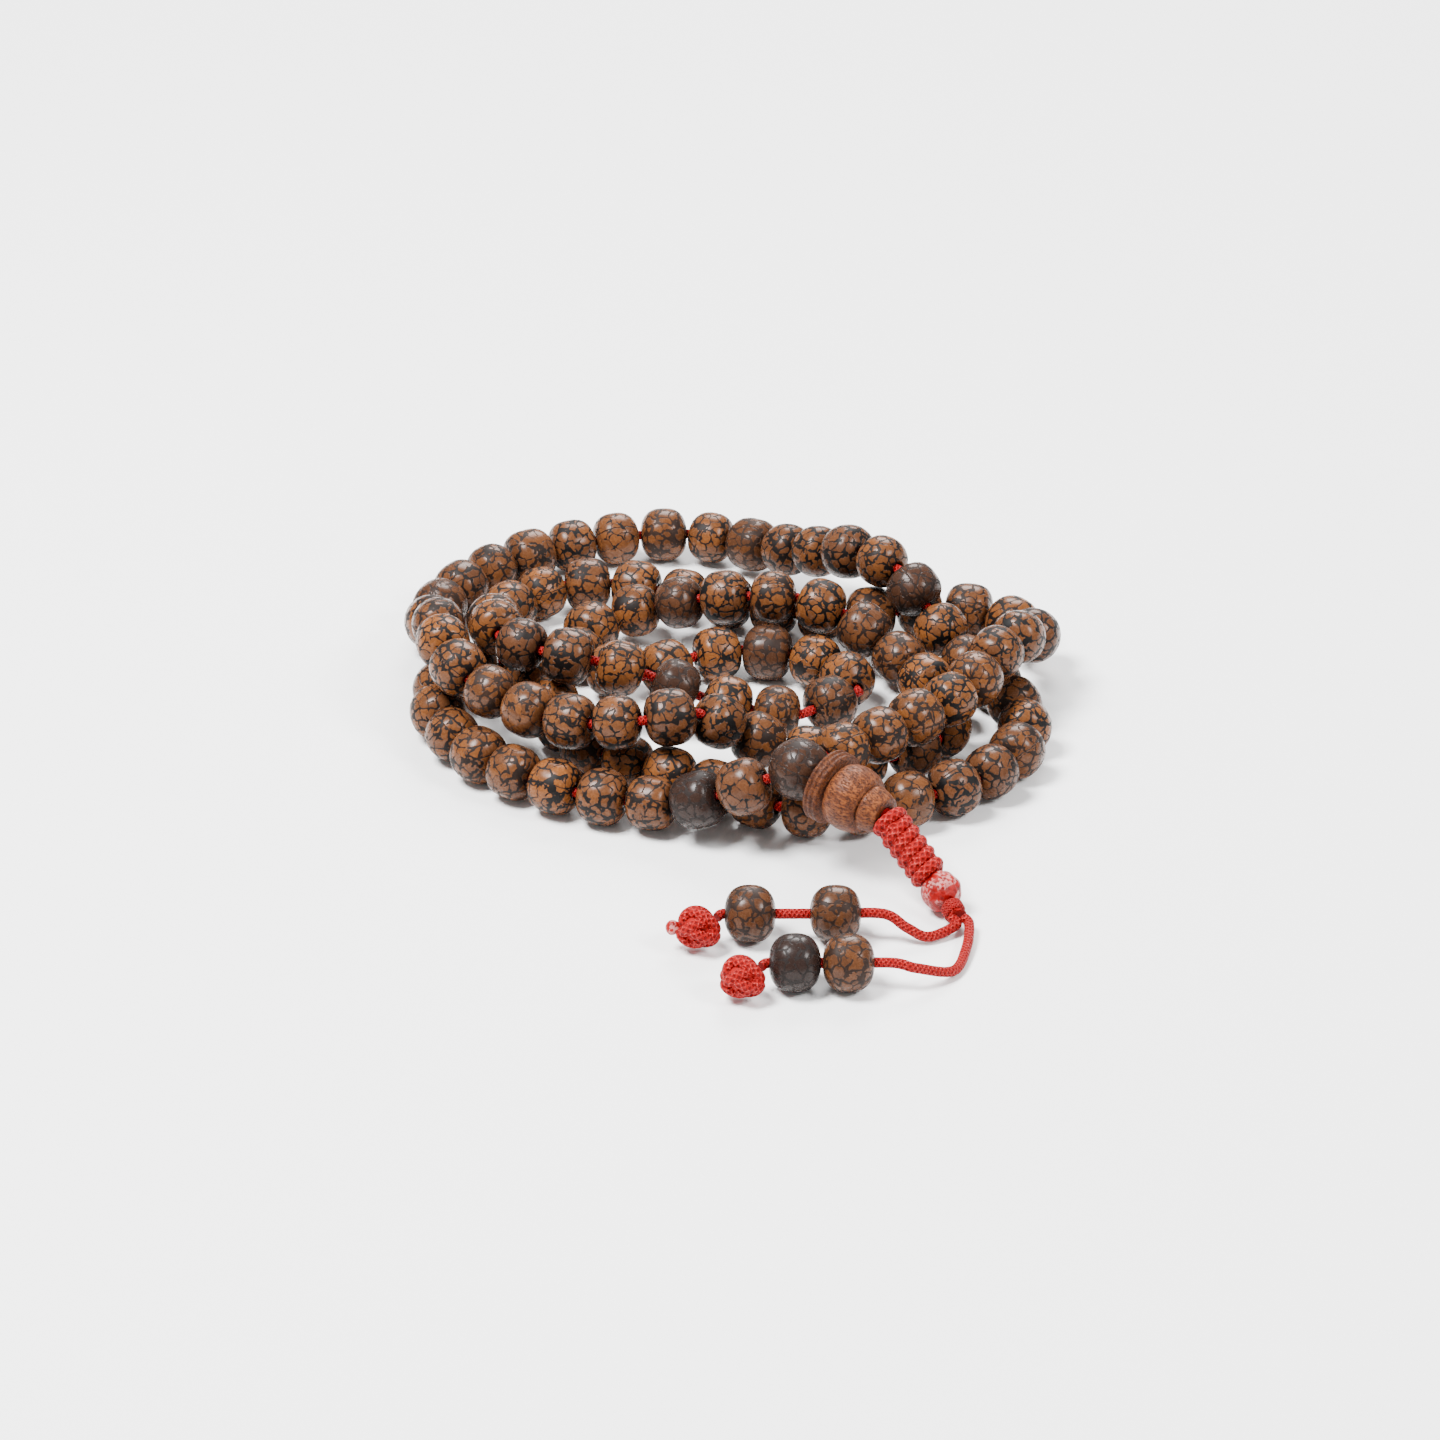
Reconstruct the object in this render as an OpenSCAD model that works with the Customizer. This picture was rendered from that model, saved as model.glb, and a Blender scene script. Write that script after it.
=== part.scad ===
// Mala of 108 seed beads lying in a loose pile, with a turned guru tower and two knotted tails.
// Part frame: +X right, +Y away, +Z up, the floor at Z = 0. Millimetres.

/* [Beads] */
// Diameter of a strand bead across its bore
bead_d = 8.0; // [6.7:0.1:9.6]
// Length of a strand bead along its bore
bead_l = 6.9; // [5.8:0.1:8.3]
// How far single beads differ from the mean size, as a share
bead_vary = 0.03; // [0:0.01:0.04]
// Diameter of the bore through every bead
bore_d = 2.0; // [1.7:0.1:2.6]
// Free gap between neighbouring beads
bead_gap = 0.22; // [0.08:0.02:0.3]

/* [Guru] */
// Diameter of the guru bead
guru_d = 8.8; // [7.4:0.1:10.6]
// Diameter of the tower's grooved flange
flange_d = 10.4; // [8.7:0.1:11.2]
// Diameter of the tower's bulb
bulb_d = 9.4; // [7.8:0.1:10.2]
// Length of the tower along its axis
tower_l = 10.5; // [8.8:0.1:12.6]

/* [Cord] */
// Diameter of the string and of the two tail cords
cord_d = 1.4; // [1.1:0.1:1.6]
// Width of the braided sinnet
sinnet_d = 5.4; // [4.5:0.1:6.4]
// Diameter of the counter beads on the tails
counter_d = 8.0; // [6.7:0.1:8.4]
// Length of a counter bead along its bore
counter_l = 6.9; // [5.8:0.1:7.2]
// Width of the knot that ends each tail
end_knot_d = 6.4; // [5.3:0.1:7.2]

/* [Hidden] */
bead_count = 108;
// Brings the middle of the pile's base to the origin
pile_at = [-1.6, 0.9, 0];
// Smallest free space round a cord and between a turning piece and a still one
slip = 0.3;
// Route of the strand from the guru bead round four turns and back to it
strand_points = [
    [11, -38, 12.5], [3, -38, 9.8], [-4, -35, 5.4], [-12, -32, 4.2], [-19, -30, 4.2], [-26, -26, 4.2],
    [-33, -20, 4.2], [-38, -13, 4.2], [-41, -5, 4.2], [-41, 3, 4.2], [-36, 9, 4.2], [-29, 9, 4.2],
    [-25, 3, 4.2], [-24, -4, 4.2], [-22, -12, 4.2], [-15, -19, 4.2], [-6, -25, 4.2], [1, -29, 4.2],
    [7, -33, 4.2], [14, -35, 4.2], [22, -33, 4.2], [30, -30, 4.2], [37, -25, 4.2], [42, -18, 4.2],
    [44, -10, 4.2], [42, -1, 4.2], [38, 7, 4.2], [34, 14, 4.6], [30, 20, 9], [25, 26, 13],
    [19, 33, 11], [12, 41, 7], [4, 49, 4.4], [-6, 53, 4.2], [-17, 51, 4.2], [-28, 46, 4.2],
    [-37, 38, 4.2], [-42, 28, 4.2], [-43, 18, 6], [-41, 10, 11.4], [-40, 0, 12.5], [-37, -8, 11.6],
    [-31, -13, 10.6], [-24, -19, 10.2], [-16, -23, 11.6], [-8, -24, 13], [-1, -21, 12], [6, -18, 5.5],
    [13, -18, 4.2], [20, -20, 4.2], [27, -18, 4.2], [32, -12, 4.2], [33, -4, 4.2], [30, 4, 4.2],
    [26, 11, 4.2], [20, 16, 8], [13, 19, 10], [6, 20, 9.9], [0, 21, 9.6], [-8, 24, 6.5],
    [-15, 26, 4.2], [-21, 22, 4.2], [-22, 15, 4.2], [-18, 8, 4.2], [-13, 5, 4.2], [-8, 8, 4.2],
    [-2, 13, 4.2], [5, 14, 4.2], [12, 12, 4.2], [18, 7, 4.2], [20, 0, 4.2], [15, -6, 4.2],
    [9, -6, 4.4], [1, -5, 5], [-6, -4, 7.5], [-14, -4, 10.8], [-23, -3, 12.2], [-31, 1, 12.3],
    [-33, 8, 12.8], [-33, 17, 7], [-32, 27, 4.2], [-26, 34, 4.2], [-17, 36, 4.2], [-8, 33, 4.2],
    [1, 30, 4.2], [9, 27, 4.2], [20, 25, 4.2], [32, 28, 4.2], [41, 26, 4.2], [46, 19, 4.2],
    [46, 10, 8.6], [42, 1, 13], [38, -6, 12], [35, -13, 11.6], [30, -19, 12], [23, -26, 11.6],
    [16, -32, 12], [11, -38, 12.5]
];
strand_last = len(strand_points) - 1;
// The pile is drawn for beads of these sizes and grows with them
drawn_d = 8.0;
drawn_l = 6.9;
grow = max(bead_d / drawn_d, bead_l / drawn_l);
// Beads with free string beside them, and how much
slack_beads = [80, 81];
slack = 1.2;
// Step along the route's parameter when beads are laid on it
fine = 0.005;
cord_sides = 8;
// Spin axis of the tower and its seat on the guru bead
guru_at = strand_points[0] * grow;
tower_dir = unit([11, -9, -2]);
tower_at = guru_at + tower_dir * (guru_d / 2 + slip / 2);
groove_r = 0.25;
// Heights of the flange's two grooves, and the widths of the neck's two ends, as shares
groove_heights = [0.33, 0.7];
neck_d = 0.72 * bulb_d;
neck_end_d = 0.96 * sinnet_d;
// How far pieces of one outline run into each other
join = 0.1;
flange_l = 0.21 * tower_l;
bulb_l = 0.5 * tower_l;
// The string's two ends lie side by side and flattened in the tower
core_flat = 0.6;
core_d = 2 * cord_d - core_flat;
// How far from the guru bead's centre the string and the core begin
string_in = 1.2;
core_in = 1.6;
// Free string between the guru bead and the beads on each side of it
guru_clear = 0.4;
core_bore_d = core_d + slip;
sinnet_at = tower_at + tower_dir * (tower_l + slip / 2);
sinnet_bumps = 7;
// Thickness of one strand of the braid, the width inside the braid, and the first round's place
braid_r = 0.22 * sinnet_d;
braid_inside_d = 0.7 * sinnet_d;
braid_inside_l = 1.8 * braid_r;
braid_start = 0.8;
// The fused knot is this much wider than the sinnet
fused_more = 0.4;
fused_d = sinnet_d + fused_more;
// Where the fused knot lies from the end of the tower
fused_off = [7.4, -8];
// Centre of the fused knot, on the floor beside the end of the tower
fused_at = [sinnet_at[0] + fused_off[0], sinnet_at[1] + fused_off[1], fused_d / 2 + slip];
// How far the sinnet runs into the fused knot's outline, and the collar too
knot_in = 0.4;
collar_in = 0.2;
collar_d = 3.2;
collar_l = 2.4;
collar_dir = unit([1.5, -3.4, -1]);
collar_at = fused_at + collar_dir * (fused_d / 2 - collar_in);
collar_end = collar_at + collar_dir * collar_l;
// Each tail cord leaves the collar this far from its middle, and runs straight this far
tail_apart = [0.9, 0, 0];
tail_start = 0.25;
tail_straight = 1.8;
// The tails are drawn for a collar that ends here, and move with it
drawn_end = [32, -60];
tails_x = collar_end[0] - drawn_end[0];
tails_y = collar_end[1] - drawn_end[1];
// Height at which the counters hold the tail cords, and of a cord on the floor
tail_z = counter_d / 2;
cord_lift = 0.3;
cord_z = cord_d / 2 + cord_lift;
tail_a_y = tails_y - 63;
tail_b_y = tails_y - 76;
// Counter places along the straight part of each tail
counter_a1_x = tails_x + 4;
counter_a2_x = tails_x + 15.5;
counter_b1_x = tails_x + 17;
counter_b2_x = counter_b1_x - counter_l - bead_gap;
// The end knots rest on the floor, a little nearer than the counters
knot_lift = 0.1;
knot_z = end_knot_d / 2 + knot_lift;
knot_nearer = 2.6;
// Each tail bends towards its knot this far past its last counter
mouth_past = 0.1;
knot_a = [counter_a1_x - counter_l / 2 - end_knot_d / 2 - slip, tail_a_y - knot_nearer, knot_z];
knot_b = [counter_b2_x - counter_l / 2 - end_knot_d / 2 - slip, tail_b_y - knot_nearer, knot_z];
mouth_a = [counter_a1_x - counter_l / 2 - mouth_past, tail_a_y, tail_z];
mouth_b = [counter_b2_x - counter_l / 2 - mouth_past, tail_b_y, tail_z];
// The melted tip of one end knot
tip_l = 0.75 * end_knot_d;
tip_base_d = 0.8 * end_knot_d;
tip_end_d = 0.6;
tail_rings = 18;
tail_a_points = [
    collar_end + collar_dir * tail_start - tail_apart,
    collar_end + collar_dir * tail_straight - tail_apart,
    [tails_x + 28, tails_y - 64, cord_z], [tails_x + 25, tails_y - 64, 2.5],
    [tails_x + 22, tails_y - 63, tail_z], [counter_a2_x, tail_a_y, tail_z],
    [tails_x + 10, tail_a_y, tail_z], [counter_a1_x, tail_a_y, tail_z],
    mouth_a, knot_a + unit(mouth_a - knot_a) * end_knot_d / 2
];
tail_b_points = [
    collar_end + collar_dir * tail_start + tail_apart,
    collar_end + collar_dir * tail_straight + tail_apart,
    [tails_x + 33, tails_y - 67, cord_z], [tails_x + 31, tails_y - 73, cord_z],
    [tails_x + 26, tails_y - 76, 3.2], [tails_x + 23, tail_b_y, tail_z],
    [counter_b1_x, tail_b_y, tail_z], [counter_b2_x, tail_b_y, tail_z],
    mouth_b, knot_b + unit(mouth_b - knot_b) * end_knot_d / 2
];
// Beads that are nodes of their own and spin, and the stretches kept as one node each
single_beads = [for (i = [30:55]) i, for (i = [76:89]) i];
stretches = [[0, 14], [15, 29], [56, 65], [66, 75], [90, 107]];
$fn = 48;

// Free height under the lowest bead, and the turn that makes neighbouring beads differ
floor_gap = 0.02;
vary_turn = 137.5;
// Keeps a place on a route short of its very end
short_of = 0.000001;

function unit(v) = v / norm(v);
// Catmull-Rom place on a list of points
function curve(p, t) =
    let (n = len(p) - 1, c = min(max(t, 0), n - short_of), i = floor(c), f = c - i)
    let (a = i > 0 ? p[i - 1] : 2 * p[0] - p[1], b = p[i], d = p[i + 1])
    let (e = i + 2 <= n ? p[i + 2] : 2 * p[n] - p[n - 1])
    0.5 * (2 * b + (d - a) * f + (2 * a - 5 * b + 4 * d - e) * f * f
        + (3 * b - a - 3 * d + e) * f * f * f);
floor_z = bead_d / 2 * (1 + bead_vary) + floor_gap;
function strand(t) = let (v = curve(strand_points, t) * grow) [v[0], v[1], max(v[2], floor_z)];
function size_of(i) = 1 + bead_vary * sin(i * vary_turn);
// Free space between bead i, from p1 to p2, and the one before it, from p0 to p1
function free(i, p0, p1, p2) =
    let (c = (p2 - p0) / 2, d = norm(c), k0 = size_of(i - 1), k1 = size_of(i))
    let (s0 = norm(cross(p1 - p0, c)) / norm(p1 - p0) / d)
    let (s1 = norm(cross(p2 - p1, c)) / norm(p2 - p1) / d)
    d - bead_l / 2 * (k0 + k1) - (bead_d - bead_l) / 2 * (k0 * s0 + k1 * s1) - bead_gap;
function reach(p, t, d) =
    t >= strand_last || norm(strand(t) - p) >= d ? min(t, strand_last) : reach(p, t + fine, d);
function clear_t(i, p0, p1, t) =
    t >= strand_last || free(i, p0, p1, strand(t)) >= 0 ? min(t, strand_last)
        : clear_t(i, p0, p1, t + fine);
function slack_of(i) = len(search(i, slack_beads)) > 0 ? slack : 0;
function next_t(i, t0, t1) =
    let (p0 = strand(t0), p1 = strand(t1))
    let (t2 = clear_t(i, p0, p1, reach(p1, t1, bead_l * size_of(i) + bead_gap)))
    reach(p1, t2, norm(strand(t2) - p1) + slack_of(i));
function lay(i, ts) =
    i >= bead_count ? ts : lay(i + 1, concat(ts, [next_t(i, ts[len(ts) - 2], ts[len(ts) - 1])]));
start_t = reach(guru_at, 0, guru_d / 2 + guru_clear);
mouth_t = lay(1, [start_t, reach(strand(start_t), start_t, bead_l * size_of(0) + bead_gap)]);
mouths = [for (t = mouth_t) strand(t)];
// Rings of a round cord along a list of points
function ring(p, i, r) =
    let (n = len(p) - 1, along = unit(p[min(i + 1, n)] - p[max(i - 1, 0)]))
    let (side = unit(cross(along, [0, 0, 1])), over = cross(side, along))
    [for (k = [0:cord_sides - 1])
        let (a = k * 360 / cord_sides) p[i] + r * (cos(a) * side + sin(a) * over)];
function even(p, count) = [for (k = [0:count]) curve(p, (len(p) - 1) * k / count)];

module cord(p) {
    n = len(p);
    points = [for (i = [0:n - 1]) each ring(p, i, cord_d / 2)];
    sides = [for (i = [0:n - 2], k = [0:cord_sides - 1])
        let (a = i * cord_sides + k, b = i * cord_sides + (k + 1) % cord_sides)
        [a, b, b + cord_sides, a + cord_sides]];
    caps = [[for (k = [cord_sides - 1:-1:0]) k],
        [for (k = [0:cord_sides - 1]) (n - 1) * cord_sides + k]];
    polyhedron(points, concat(sides, caps));
}

// Turns +Z to a direction and moves the origin to a place
module aim(at, dir) {
    d = unit(dir);
    translate(at) rotate([0, acos(d[2]), atan2(d[1], d[0])]) children();
}

// Rounded barrel with a bore along Z, flatter round its middle than a ball
module barrel(d, l, bore) {
    rotate_extrude() intersection() {
        translate([(d - l) / 2, 0]) circle(d = l);
        translate([bore / 2, -l]) square([d, 2 * l]);
    }
}

module strand_bead(i) {
    a = mouths[i];
    b = mouths[i + 1];
    color("saddlebrown")
        aim((a + b) / 2, b - a) barrel(bead_d * size_of(i), bead_l * size_of(i), bore_d);
}

module string() {
    first = guru_at + unit(mouths[0] - guru_at) * string_in;
    last = guru_at + unit(mouths[bead_count] - guru_at) * string_in;
    color("crimson") cord(concat([first], mouths, [last]));
}

module guru_bead() {
    color([0.25, 0.16, 0.15]) difference() {
        translate(guru_at) sphere(d = guru_d);
        aim(guru_at, mouths[0] - guru_at) cylinder(d = bore_d, h = guru_d);
        aim(guru_at, mouths[bead_count] - guru_at) cylinder(d = bore_d, h = guru_d);
        aim(guru_at, tower_dir) cylinder(d = core_bore_d, h = guru_d);
    }
}

module guru_tower() {
    color("sienna") aim(tower_at, tower_dir) rotate_extrude() difference() {
        union() {
            square([flange_d / 2, flange_l]);
            intersection() {
                translate([0, flange_l + bulb_l / 2]) circle(d = bulb_d);
                translate([0, flange_l - join]) square([bulb_d, bulb_l + join]);
            }
            polygon([[0, flange_l + bulb_l - join], [neck_d / 2, flange_l + bulb_l - join],
                [neck_end_d / 2, tower_l], [0, tower_l]]);
        }
        translate([-1, -1]) square([core_bore_d / 2 + 1, tower_l + 2]);
        for (s = groove_heights) translate([flange_d / 2, s * flange_l]) circle(r = groove_r);
    }
}

module tower_core() {
    color("crimson") aim(guru_at + tower_dir * core_in, tower_dir)
        cylinder(d = core_d, h = norm(sinnet_at - guru_at) - core_in);
}

module sinnet() {
    l = norm(fused_at - sinnet_at) - fused_d / 2 + knot_in;
    pitch = (l - sinnet_d / 2) / (sinnet_bumps - 1);
    color("red") difference() {
        aim(sinnet_at, fused_at - sinnet_at) {
            cylinder(d = braid_inside_d, h = l);
            for (k = [0:sinnet_bumps - 1]) translate([0, 0, braid_start + k * pitch]) braid_turn();
        }
        // Flat where it meets the tower, and hollowed where it seats on the fused knot
        aim(sinnet_at, -tower_dir) cylinder(d = 3 * sinnet_d, h = sinnet_d);
        translate(fused_at) sphere(d = fused_d);
    }
}

// One round of the braid
module braid_turn() {
    rotate_extrude() intersection() {
        translate([sinnet_d / 2 - braid_r, 0]) circle(r = braid_r);
        translate([0, -sinnet_d]) square([sinnet_d, 2 * sinnet_d]);
    }
    cylinder(r = sinnet_d / 2 - braid_r, h = braid_inside_l, center = true);
}

module fused_knot() {
    color("lightcoral") difference() {
        translate(fused_at) sphere(d = fused_d);
        aim(collar_at, collar_dir) cylinder(d = fused_d, h = fused_d);
    }
}

module collar() {
    color("red") aim(collar_at, collar_dir) cylinder(d = collar_d, h = collar_l);
}

module counter(x, y) {
    color("saddlebrown") aim([x, y, tail_z], [1, 0, 0]) barrel(counter_d, counter_l, bore_d);
}

// A ball of cord, with a melted tip of the given length where there is one
module end_knot(at, tip) {
    color("red") {
        translate(at) sphere(d = end_knot_d);
        if (tip > 0) aim(at, [-1, 0, 0]) cylinder(d1 = tip_base_d, d2 = tip_end_d, h = tip);
    }
}

module placed() {
    translate(pile_at) children();
}

placed() string();
placed() guru_bead();
placed() guru_tower();
placed() tower_core();
placed() sinnet();
placed() fused_knot();
placed() collar();
placed() color("red") cord(even(tail_a_points, tail_rings));  // tail_cord_a
placed() color("red") cord(even(tail_b_points, tail_rings));  // tail_cord_b
placed() counter(counter_a1_x, tail_a_y);  // counter_a1
placed() counter(counter_a2_x, tail_a_y);  // counter_a2
placed() counter(counter_b1_x, tail_b_y);  // counter_b1
placed() counter(counter_b2_x, tail_b_y);  // counter_b2
placed() end_knot(knot_a, tip_l);  // end_knot_a
placed() end_knot(knot_b, 0);  // end_knot_b
for (s = [0:len(stretches) - 1])
    placed() for (i = [stretches[s][0]:stretches[s][1]]) strand_bead(i);
for (i = single_beads)
    placed() strand_bead(i);
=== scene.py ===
"""A mala of seed beads in a loose pile, with a turned guru tower, a red braid and two knotted tails."""

import math

import bmesh
import bpy
from mathutils import Matrix, Vector, noise


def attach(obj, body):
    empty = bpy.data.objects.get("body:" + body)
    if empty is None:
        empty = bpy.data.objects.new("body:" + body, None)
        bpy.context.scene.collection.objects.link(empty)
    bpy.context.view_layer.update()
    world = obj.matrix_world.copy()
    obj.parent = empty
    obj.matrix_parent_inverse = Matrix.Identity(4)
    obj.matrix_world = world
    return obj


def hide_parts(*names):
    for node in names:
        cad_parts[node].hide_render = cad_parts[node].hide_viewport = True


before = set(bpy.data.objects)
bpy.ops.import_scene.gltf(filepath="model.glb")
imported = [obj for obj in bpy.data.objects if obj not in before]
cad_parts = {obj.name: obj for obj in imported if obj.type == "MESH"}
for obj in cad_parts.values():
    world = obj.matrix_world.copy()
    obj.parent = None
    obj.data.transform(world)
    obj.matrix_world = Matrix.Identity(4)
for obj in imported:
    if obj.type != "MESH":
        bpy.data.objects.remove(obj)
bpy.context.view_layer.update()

bl_info = {
    "name": "Seed Bead Mala",
    "version": (1, 0, 0),
    "blender": (4, 5, 0),
    "location": "View3D > Sidebar > Mala",
    "description": "Builds the strand, guru, braid, counters and tails of a seed bead mala",
    "category": "Add Mesh",
}

MM = 0.001

# The strand's route from the guru bead round four turns and back to it, in metres
STRAND_POINTS = [Vector(p) * MM for p in (
    (11, -38, 12.5), (3, -38, 9.8), (-4, -35, 5.4), (-12, -32, 4.2), (-19, -30, 4.2), (-26, -26, 4.2),
    (-33, -20, 4.2), (-38, -13, 4.2), (-41, -5, 4.2), (-41, 3, 4.2), (-36, 9, 4.2), (-29, 9, 4.2),
    (-25, 3, 4.2), (-24, -4, 4.2), (-22, -12, 4.2), (-15, -19, 4.2), (-6, -25, 4.2), (1, -29, 4.2),
    (7, -33, 4.2), (14, -35, 4.2), (22, -33, 4.2), (30, -30, 4.2), (37, -25, 4.2), (42, -18, 4.2),
    (44, -10, 4.2), (42, -1, 4.2), (38, 7, 4.2), (34, 14, 4.6), (30, 20, 9), (25, 26, 13),
    (19, 33, 11), (12, 41, 7), (4, 49, 4.4), (-6, 53, 4.2), (-17, 51, 4.2), (-28, 46, 4.2),
    (-37, 38, 4.2), (-42, 28, 4.2), (-43, 18, 6), (-41, 10, 11.4), (-40, 0, 12.5), (-37, -8, 11.6),
    (-31, -13, 10.6), (-24, -19, 10.2), (-16, -23, 11.6), (-8, -24, 13), (-1, -21, 12), (6, -18, 5.5),
    (13, -18, 4.2), (20, -20, 4.2), (27, -18, 4.2), (32, -12, 4.2), (33, -4, 4.2), (30, 4, 4.2),
    (26, 11, 4.2), (20, 16, 8), (13, 19, 10), (6, 20, 9.9), (0, 21, 9.6), (-8, 24, 6.5),
    (-15, 26, 4.2), (-21, 22, 4.2), (-22, 15, 4.2), (-18, 8, 4.2), (-13, 5, 4.2), (-8, 8, 4.2),
    (-2, 13, 4.2), (5, 14, 4.2), (12, 12, 4.2), (18, 7, 4.2), (20, 0, 4.2), (15, -6, 4.2),
    (9, -6, 4.4), (1, -5, 5), (-6, -4, 7.5), (-14, -4, 10.8), (-23, -3, 12.2), (-31, 1, 12.3),
    (-33, 8, 12.8), (-33, 17, 7), (-32, 27, 4.2), (-26, 34, 4.2), (-17, 36, 4.2), (-8, 33, 4.2),
    (1, 30, 4.2), (9, 27, 4.2), (20, 25, 4.2), (32, 28, 4.2), (41, 26, 4.2), (46, 19, 4.2),
    (46, 10, 8.6), (42, 1, 13), (38, -6, 12), (35, -13, 11.6), (30, -19, 12), (23, -26, 11.6),
    (16, -32, 12), (11, -38, 12.5),
)]

# Sizes of the solids, in metres
BEAD_COUNT = 108
BEAD_D = 8.0 * MM
BEAD_L = 6.9 * MM
BEAD_VARY = 0.03
VARY_TURN = 137.5
BEAD_GAP = 0.22 * MM
BORE_D = 2.0 * MM
CORD_D = 1.4 * MM
GURU_D = 8.8 * MM
GURU_GAP = 0.4 * MM
TOWER_L = 10.5 * MM
FLANGE_D = 10.4 * MM
FLANGE_L = 0.21 * TOWER_L
BULB_D = 9.4 * MM
BULB_L = 0.5 * TOWER_L
SINNET_D = 5.4 * MM
NECK_R = BULB_D * 0.36
NECK_END_R = SINNET_D * 0.48
FUSED_D = SINNET_D + 0.4 * MM
COUNTER_D = 8.0 * MM
COUNTER_L = 6.9 * MM
END_KNOT_D = 6.4 * MM
SLIP = 0.3 * MM
CORE_D = 2 * CORD_D - 0.6 * MM
CORE_BORE_D = CORE_D + SLIP
SLACK_BEADS = (80, 81)
SLACK = 1.2 * MM
FINE = 0.005
PILE_AT = Vector((-1.6, 0.9, 0.0)) * MM
LAST = len(STRAND_POINTS) - 1
FLOOR_GAP = 0.02 * MM
FLOOR_Z = BEAD_D / 2 * (1 + BEAD_VARY) + FLOOR_GAP
# Beads that turn or slide on the string, each a body of its own
SINGLE_BEADS = list(range(30, 56)) + list(range(76, 90))
# Seeds darker than the rest, from 0 to 1, and seeds with few veins
DARK_SEEDS = {1: 0.9, 80: 0.75, 30: 0.6, 35: 0.5, 67: 0.5, 74: 0.5, 43: 0.45, 37: 0.35, 49: 0.35}
PLAIN_SEEDS = (0, 21, 38, 50)
# First and last bead of each run that stays still
STRETCHES = ((0, 14), (15, 29), (56, 65), (66, 75), (90, 107))
# How dark and how warm each counter bead is
COUNTER_LOOKS = ((0.42, 0.3), (0.45, 0.4), (0.40, 0.5), (0.95, 0.1))

# Places that follow from those sizes
GURU_AT = STRAND_POINTS[0]
TOWER_DIR = Vector((11, -9, -2)).normalized()
TOWER_AT = GURU_AT + TOWER_DIR * (GURU_D / 2 + SLIP / 2)
SINNET_AT = TOWER_AT + TOWER_DIR * (TOWER_L + SLIP / 2)
FUSED_AT = Vector((SINNET_AT.x + 7.4 * MM, SINNET_AT.y - 8 * MM, FUSED_D / 2 + SLIP))
KNOT_IN = 0.4 * MM
COLLAR_IN = 0.2 * MM
COLLAR_L = 2.4 * MM
COLLAR_D = 3.2 * MM
COLLAR_DIR = Vector((1.5, -3.4, -1)).normalized()
COLLAR_AT = FUSED_AT + COLLAR_DIR * (FUSED_D / 2 - COLLAR_IN)
COLLAR_END = COLLAR_AT + COLLAR_DIR * COLLAR_L
TAIL_APART = Vector((0.9 * MM, 0, 0))
TAIL_START = 0.25 * MM
TAIL_STRAIGHT = 1.8 * MM
TAILS_X = COLLAR_END.x - 32 * MM
TAILS_Y = COLLAR_END.y + 60 * MM
TAIL_Z = COUNTER_D / 2
CORD_Z = CORD_D / 2 + 0.3 * MM
TAIL_A_Y = TAILS_Y - 63 * MM
TAIL_B_Y = TAILS_Y - 76 * MM
COUNTERS = {
    "counter_a1": Vector((TAILS_X + 4 * MM, TAIL_A_Y, TAIL_Z)),
    "counter_a2": Vector((TAILS_X + 15.5 * MM, TAIL_A_Y, TAIL_Z)),
    "counter_b1": Vector((TAILS_X + 17 * MM, TAIL_B_Y, TAIL_Z)),
    "counter_b2": Vector((TAILS_X + 17 * MM - COUNTER_L - BEAD_GAP, TAIL_B_Y, TAIL_Z)),
}
KNOT_Z = END_KNOT_D / 2 + 0.1 * MM
KNOT_NEARER = 2.6 * MM
KNOT_BESIDE = COUNTER_L / 2 + END_KNOT_D / 2 + SLIP
KNOT_A = Vector((COUNTERS["counter_a1"].x - KNOT_BESIDE, TAIL_A_Y - KNOT_NEARER, KNOT_Z))
KNOT_B = Vector((COUNTERS["counter_b2"].x - KNOT_BESIDE, TAIL_B_Y - KNOT_NEARER, KNOT_Z))
MOUTH_A = COUNTERS["counter_a1"] - Vector((COUNTER_L / 2 + 0.1 * MM, 0, 0))
MOUTH_B = COUNTERS["counter_b2"] - Vector((COUNTER_L / 2 + 0.1 * MM, 0, 0))


def tail_place(x, y, z):
    """A place on a tail, drawn for a collar that ends at X 32 and Y -60."""
    return Vector((TAILS_X + x * MM, TAILS_Y + y * MM, z))


TAIL_A_POINTS = [
    COLLAR_END + COLLAR_DIR * TAIL_START - TAIL_APART,
    COLLAR_END + COLLAR_DIR * TAIL_STRAIGHT - TAIL_APART,
    tail_place(28, -64, CORD_Z), tail_place(25, -64, 2.5 * MM), tail_place(22, -63, TAIL_Z),
    COUNTERS["counter_a2"], tail_place(10, -63, TAIL_Z), COUNTERS["counter_a1"],
    MOUTH_A, KNOT_A + (MOUTH_A - KNOT_A).normalized() * END_KNOT_D / 2,
]
TAIL_B_POINTS = [
    COLLAR_END + COLLAR_DIR * TAIL_START + TAIL_APART,
    COLLAR_END + COLLAR_DIR * TAIL_STRAIGHT + TAIL_APART,
    tail_place(33, -67, CORD_Z), tail_place(31, -73, CORD_Z), tail_place(26, -76, 3.2 * MM),
    tail_place(23, -76, TAIL_Z), COUNTERS["counter_b1"], COUNTERS["counter_b2"],
    MOUTH_B, KNOT_B + (MOUTH_B - KNOT_B).normalized() * END_KNOT_D / 2,
]

TAILS = {"a": TAIL_A_POINTS, "b": TAIL_B_POINTS}
TAIL_STEP = 0.5 * MM

# Detail of the visible pieces, in metres
SEED_GAP = 0.02 * MM
NEAR = 1.4 * BEAD_D
MOST_FILL = 0.6 * MM
RING_STEP = 0.001 * MM
MERGE = 0.000002
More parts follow.
